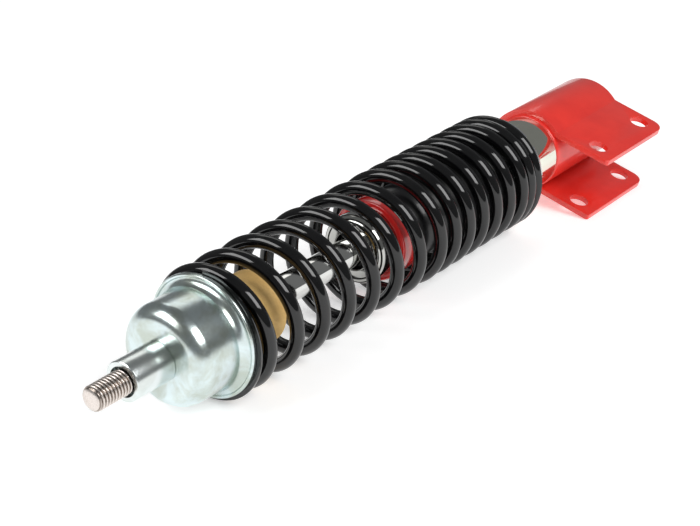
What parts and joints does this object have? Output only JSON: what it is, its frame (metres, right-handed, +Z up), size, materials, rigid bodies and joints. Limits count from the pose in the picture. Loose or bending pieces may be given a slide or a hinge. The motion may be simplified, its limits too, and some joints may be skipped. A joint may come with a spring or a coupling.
{
  "type": "coil-over shock absorber",
  "caption": "Coil-over scooter shock absorber: threaded stud and zinc bell cup at one end, black progressive spring, red two-lug bolt bracket at the other.",
  "frame": {"origin": "on the damper axis, at the sleeve nut's front face, where the threaded stud starts", "axes": "+X runs along the damper from the stud to the bracket, +Z is up with the part lying on its spring and on the edge of the lower lug, and the bracket's lugs point towards -Y"},
  "size_m": [0.345, 0.0697, 0.0536],
  "materials": {
    "rod_chrome": "polished hard chrome, rolled thread on the stud",
    "zinc_nut": "satin bright zinc plate",
    "zinc_cup": "satin blue zinc plate on pressed sheet",
    "zinc_small": "satin zinc plate",
    "bump_foam": "ochre microcellular foam, matt",
    "steel_parts": "ground steel",
    "seal_rubber": "black nitrile rubber, satin",
    "piston_metal": "machined aluminium",
    "slide_band": "bronze-filled slide band",
    "guide_metal": "sintered iron",
    "bush_bronze": "lined bronze bush",
    "tube_chrome": "bright chrome plate",
    "plug_steel": "turned steel",
    "ring_red": "glossy red coat",
    "sleeve_black": "black coated thread, satin",
    "sleeve_chrome": "bright chrome plate",
    "collar_zinc": "bright zinc plate, knurled edge",
    "bracket_red": "glossy red powder coat",
    "spring_black": "glossy black powder coat"
  },
  "bodies": {
    "damper_body": {"damper_tube": "tube_chrome", "dust_wiper": "seal_rubber", "oil_seal": "seal_rubber", "rod_guide": "guide_metal", "guide_bush": "bush_bronze", "guide_o_ring": "seal_rubber", "end_plug": "plug_steel", "gas_screw": "steel_parts", "lock_ring": "ring_red", "adjuster_sleeve": "sleeve_black", "spacer_tube": "sleeve_chrome", "bracket_boss": "bracket_red", "bracket_strap": "bracket_red", "coil_spring": "spring_black"},
    "rod_unit": {"piston_rod": "rod_chrome", "sleeve_nut": "zinc_nut", "spring_cup": "zinc_cup", "cup_washer": "zinc_small", "bump_stop": "bump_foam", "stop_washer": "steel_parts", "topout_stop": "seal_rubber", "rebound_shims": "steel_parts", "piston": "piston_metal", "piston_band": "slide_band", "compression_shims": "steel_parts", "piston_nut": "steel_parts"},
    "seat_unit": {"spring_seat": "zinc_small"},
    "collar_unit": {"preload_collar": "collar_zinc"},
    "separator_unit": {"separator_piston": "piston_metal", "separator_o_ring": "seal_rubber"}
  },
  "joints": [
    {"name": "damper_slide", "type": "slide", "parent": "damper_body", "child": "rod_unit", "axis": [1, 0, 0], "range_m": [0, 0.0595], "stiffness_N_per_m": 7700, "deforming": ["coil_spring"]},
    {"name": "preload_slide", "type": "slide", "parent": "damper_body", "child": "seat_unit", "axis": [-1, 0, 0], "range_m": [0, 0.0062], "deforming": ["coil_spring"]},
    {"name": "collar_turn", "type": "hinge", "parent": "seat_unit", "child": "collar_unit", "pos_m": [0.2448, 0, 0], "axis": [1, 0, 0], "range_deg": [0, 1439]},
    {"name": "separator_slide", "type": "slide", "parent": "damper_body", "child": "separator_unit", "axis": [1, 0, 0], "range_m": [0, 0.0129]}
  ],
  "couplings": [
    {"joint": "preload_slide", "follows": "collar_turn", "m_per_rad": 0.00023873},
    {"joint": "separator_slide", "follows": "damper_slide", "ratio": 0.21433}
  ]
}
